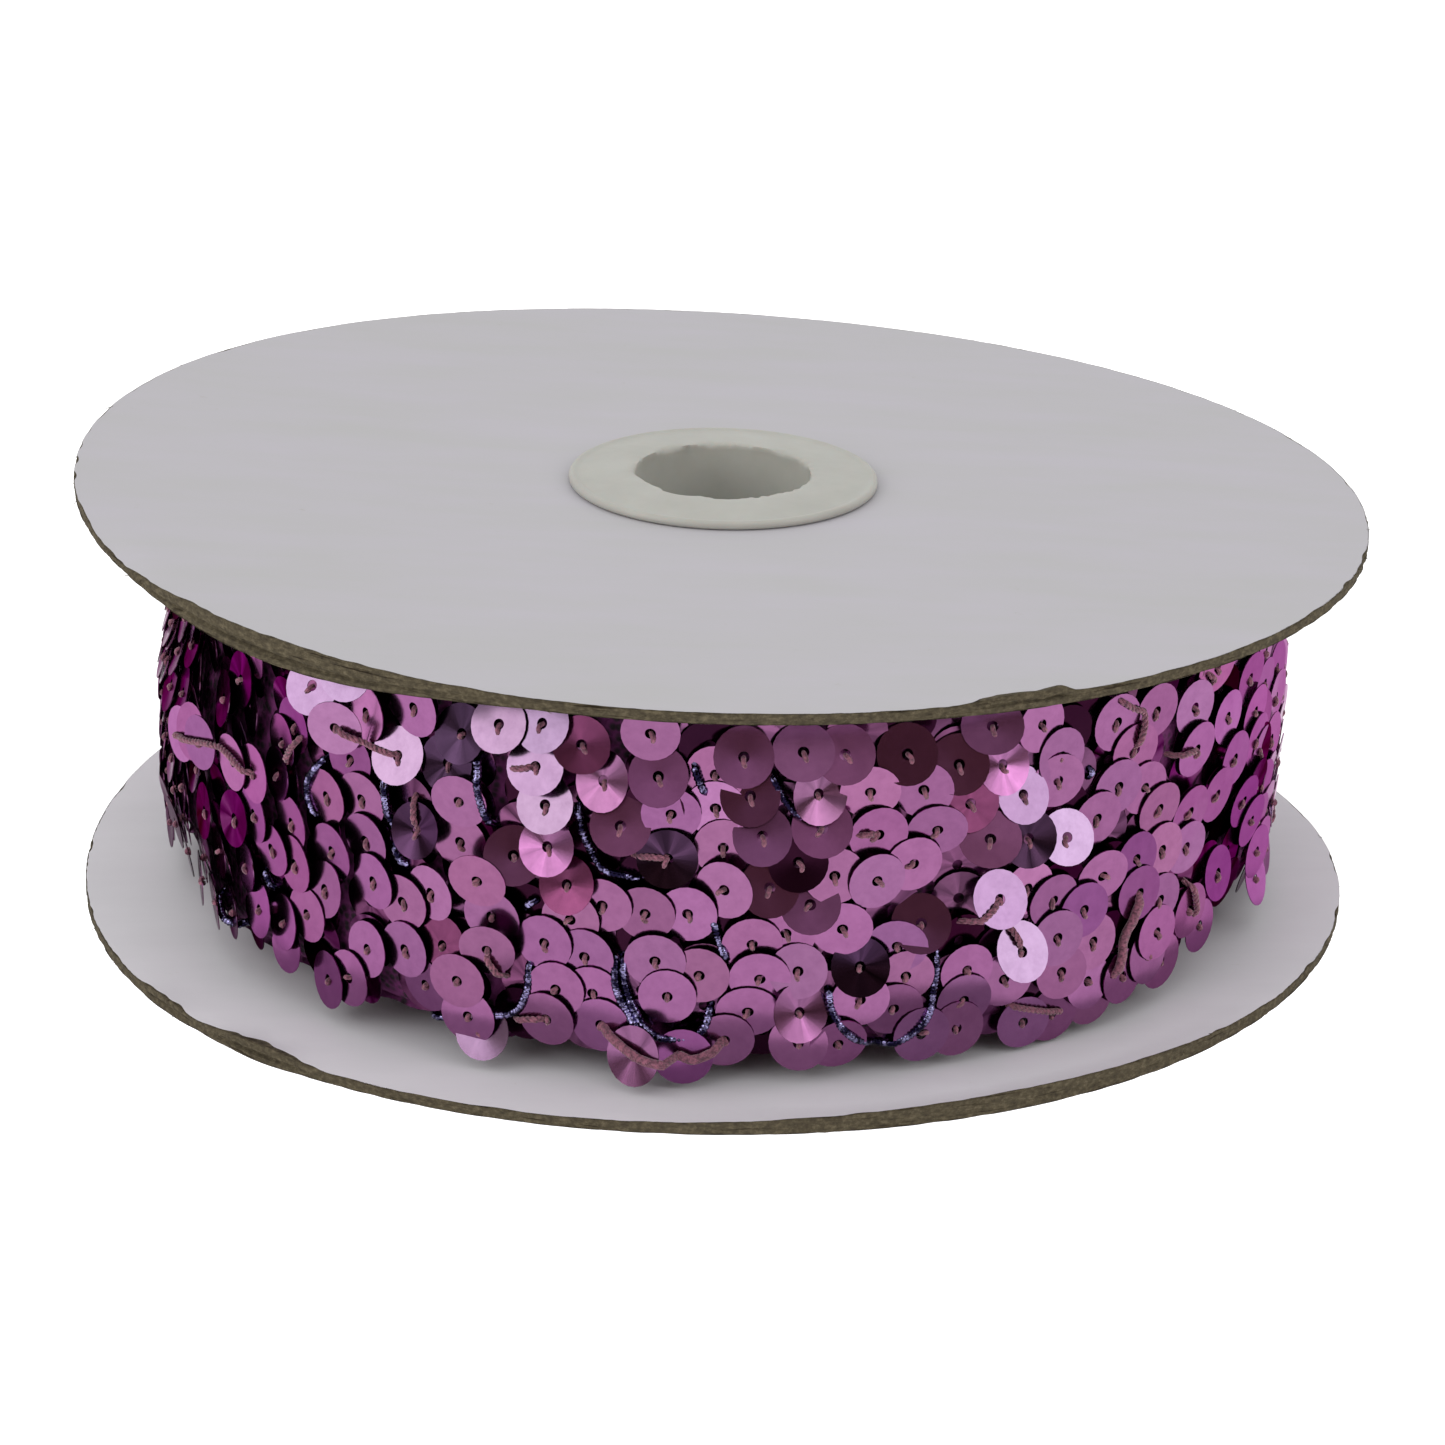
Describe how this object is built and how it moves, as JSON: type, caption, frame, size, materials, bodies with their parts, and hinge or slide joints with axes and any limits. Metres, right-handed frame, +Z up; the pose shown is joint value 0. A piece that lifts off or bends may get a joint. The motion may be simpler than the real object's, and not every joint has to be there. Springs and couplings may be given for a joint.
{
  "type": "sequin trim wound on a card spool",
  "caption": "Wide sequin trim wound in a roll on a spool: two pale card discs held by a plastic hub with a plain bore through it.",
  "frame": {"origin": "on the spool's axis, at the middle of the base, on the surface that it stands on", "axes": "+Z up along the spool's axis, -Y towards the front in the picture, +X to the right"},
  "size_m": [0.1396, 0.1396, 0.049],
  "materials": {
    "card": "white-coated greyboard, raw brown-grey edge",
    "hub_plastic": "milky moulded polyethylene, satin",
    "sequin_trim": "glossy mauve metallised sequins on a dark plum ground"
  },
  "bodies": {
    "root": {"lower_disc": "card", "upper_disc": "card", "hub_lower_half": "hub_plastic", "hub_upper_half": "hub_plastic", "trim_roll": "sequin_trim"}
  },
  "joints": []
}
